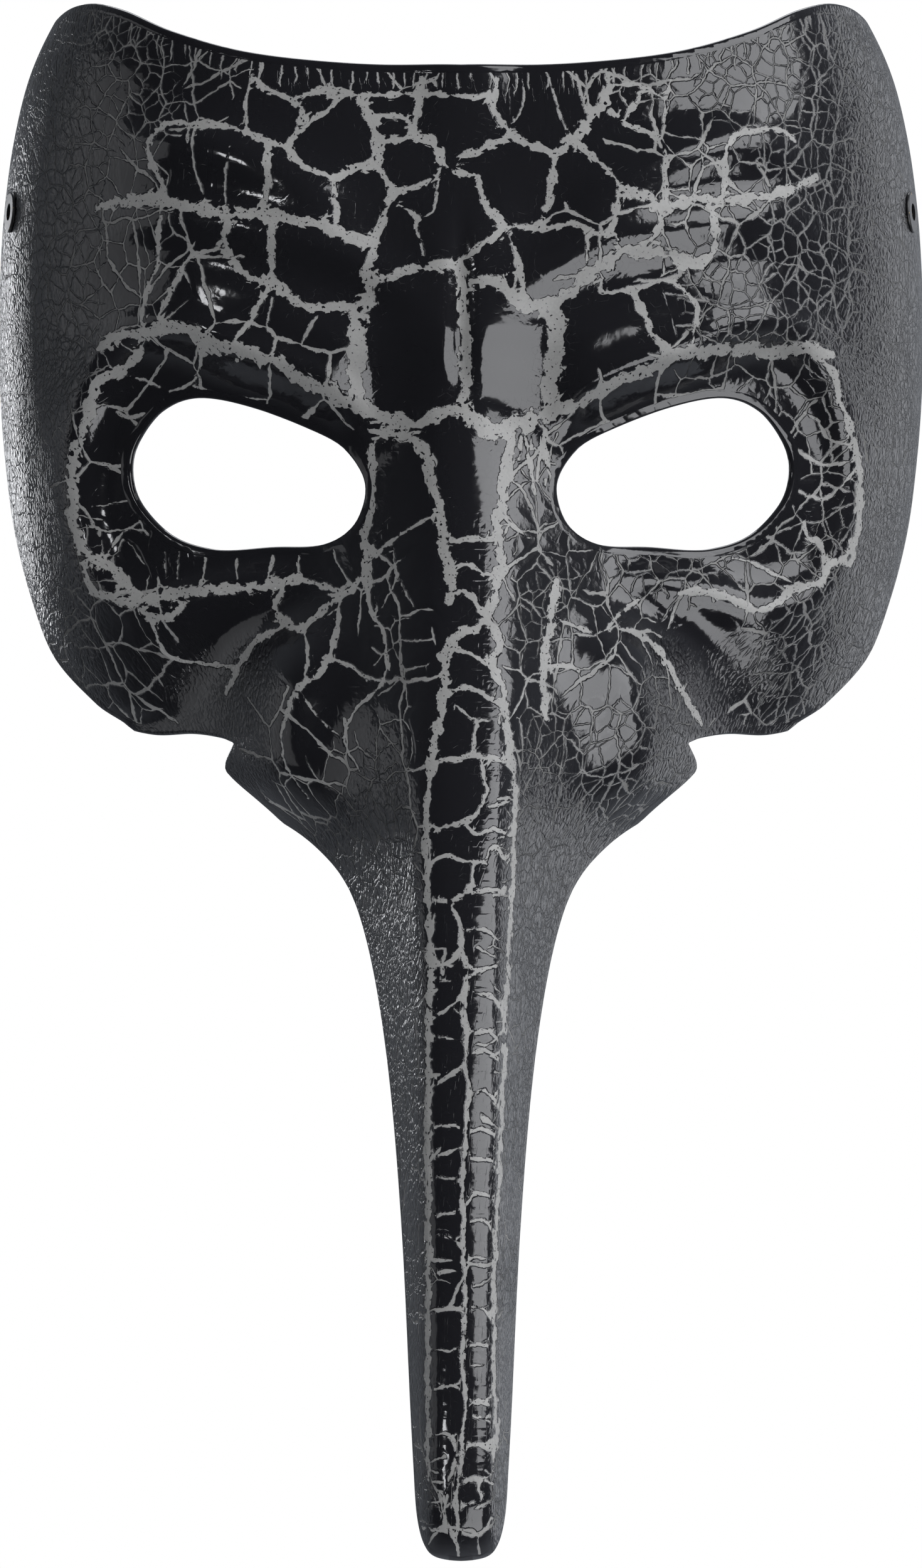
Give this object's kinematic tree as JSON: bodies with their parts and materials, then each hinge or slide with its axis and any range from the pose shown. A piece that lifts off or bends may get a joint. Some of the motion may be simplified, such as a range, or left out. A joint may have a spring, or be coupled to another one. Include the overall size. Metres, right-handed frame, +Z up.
{
  "type": "plague doctor mask",
  "caption": "Long-nosed carnival half mask: a thin formed shell with open eye holes and a hollow drooping nose, foam pads inside and an elastic strap that swings on side eyelets.",
  "frame": {"origin": "on the mask's middle plane, between the two eye openings, where the wearer's face meets it", "axes": "+Z up towards the top edge, the mask looks along -Y, +X is the wearer's left"},
  "size_m": [0.1814, 0.2362, 0.2923],
  "materials": {
    "crackle_lacquer": "gloss black lacquer crazed into cells, with the grey-beige ground colour showing in the cracks",
    "pad_foam": "soft foam faced with black brushed knit",
    "eyelet_metal": "black enamelled brass eyelet, worn at its edge",
    "washer_metal": "black enamelled washer",
    "elastic_webbing": "black braided flat elastic with ribs along its length"
  },
  "bodies": {
    "mask": {"mask_shell": "crackle_lacquer", "brow_pad": "pad_foam", "cheek_pad_left": "pad_foam", "cheek_pad_right": "pad_foam", "eyelet_left": "eyelet_metal", "eyelet_right": "eyelet_metal", "washer_left": "washer_metal", "washer_right": "washer_metal"},
    "strap": {"elastic_strap": "elastic_webbing"}
  },
  "joints": [
    {"name": "strap_swing", "type": "hinge", "parent": "mask", "child": "strap", "pos_m": [0, 0.03805, 0.05166], "axis": [1, 0, 0], "range_deg": [-35, 35]}
  ]
}
